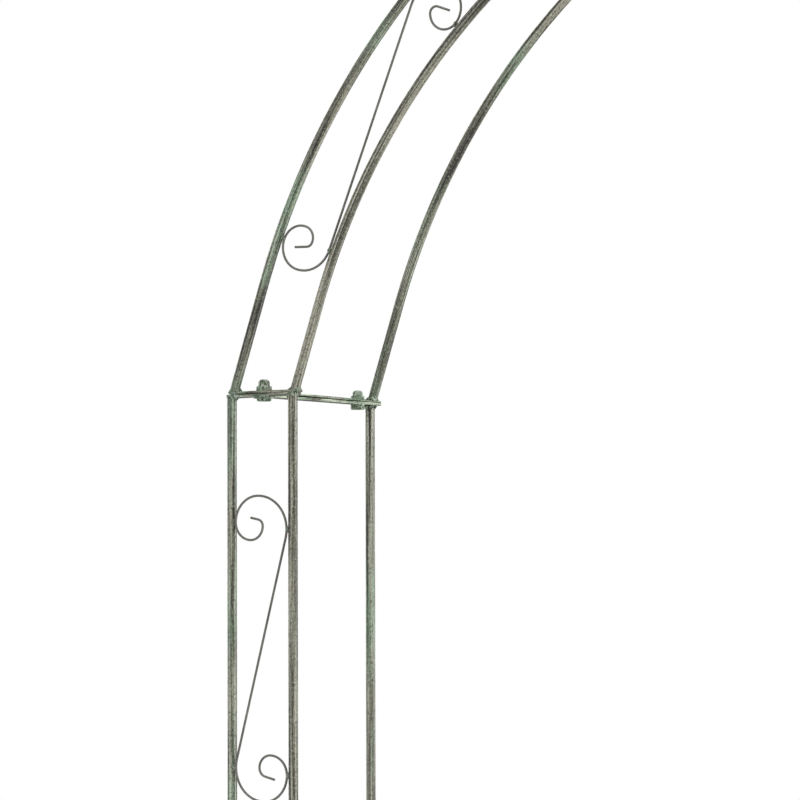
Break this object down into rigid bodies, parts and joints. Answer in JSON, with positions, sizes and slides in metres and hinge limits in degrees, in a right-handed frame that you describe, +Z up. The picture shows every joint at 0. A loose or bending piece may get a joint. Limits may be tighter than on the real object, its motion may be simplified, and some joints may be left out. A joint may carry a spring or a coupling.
{
  "type": "metal trellis arch",
  "caption": "Garden trellis arch of round steel rods: two three-rod columns with S-scroll wire infill and two curved halves bolted together overhead.",
  "frame": {"origin": "on the ground, at the middle of the arch's bounding box", "axes": "+X across the walkway from the left column to the right one, +Y from the scrolled ladder faces to the rear rods, +Z up"},
  "size_m": [1.534, 0.2294, 2.3963],
  "materials": {
    "rod": "antique patina paint: dark brown-grey ground with streaks of sage and verdigris green, satin, slightly rough",
    "flat_bar": "antique patina paint, dark brown-grey with sage green edges, satin",
    "scroll_wire": "dark grey-brown paint, satin",
    "fastener": "patina paint over steel, sage green, satin",
    "weld": "painted weld bead, green-grey, satin"
  },
  "bodies": {
    "root": {"left_lower_leg_outer_rod": "rod", "left_lower_leg_inner_rod": "rod", "left_lower_leg_rear_rod": "rod", "left_lower_leg_bottom_crossbar": "flat_bar", "left_lower_leg_bottom_tie_bar": "flat_bar", "left_lower_leg_top_crossbar": "flat_bar", "left_lower_leg_top_tie_bar": "flat_bar", "left_lower_leg_lower_scroll": "scroll_wire", "left_lower_leg_upper_scroll": "scroll_wire", "left_upper_leg_outer_rod": "rod", "left_upper_leg_inner_rod": "rod", "left_upper_leg_rear_rod": "rod", "left_upper_leg_bottom_crossbar": "flat_bar", "left_upper_leg_bottom_tie_bar": "flat_bar", "left_upper_leg_top_crossbar": "flat_bar", "left_upper_leg_top_tie_bar": "flat_bar", "left_upper_leg_lower_scroll": "scroll_wire", "left_upper_leg_upper_scroll": "scroll_wire", "left_arch_outer_rod": "rod", "left_arch_inner_rod": "rod", "left_arch_rear_rod": "rod", "left_arch_bottom_crossbar": "flat_bar", "left_arch_bottom_tie_bar": "flat_bar", "left_arch_top_crossbar": "flat_bar", "left_arch_top_tie_bar": "flat_bar", "left_arch_lower_scroll": "scroll_wire", "left_arch_upper_scroll": "scroll_wire", "right_lower_leg_outer_rod": "rod", "right_lower_leg_inner_rod": "rod", "right_lower_leg_rear_rod": "rod", "right_lower_leg_bottom_crossbar": "flat_bar", "right_lower_leg_bottom_tie_bar": "flat_bar", "right_lower_leg_top_crossbar": "flat_bar", "right_lower_leg_top_tie_bar": "flat_bar", "right_lower_leg_lower_scroll": "scroll_wire", "right_lower_leg_upper_scroll": "scroll_wire", "right_upper_leg_outer_rod": "rod", "right_upper_leg_inner_rod": "rod", "right_upper_leg_rear_rod": "rod", "right_upper_leg_bottom_crossbar": "flat_bar", "right_upper_leg_bottom_tie_bar": "flat_bar", "right_upper_leg_top_crossbar": "flat_bar", "right_upper_leg_top_tie_bar": "flat_bar", "right_upper_leg_lower_scroll": "scroll_wire", "right_upper_leg_upper_scroll": "scroll_wire", "right_arch_outer_rod": "rod", "right_arch_inner_rod": "rod", "right_arch_rear_rod": "rod", "right_arch_bottom_crossbar": "flat_bar", "right_arch_bottom_tie_bar": "flat_bar", "right_arch_top_crossbar": "flat_bar", "right_arch_top_tie_bar": "flat_bar", "right_arch_lower_scroll": "scroll_wire", "right_arch_upper_scroll": "scroll_wire", "joint_bolts": "fastener", "bolt_washers": "fastener", "dome_nuts": "fastener", "scroll_tack_welds": "weld"}
  },
  "joints": []
}
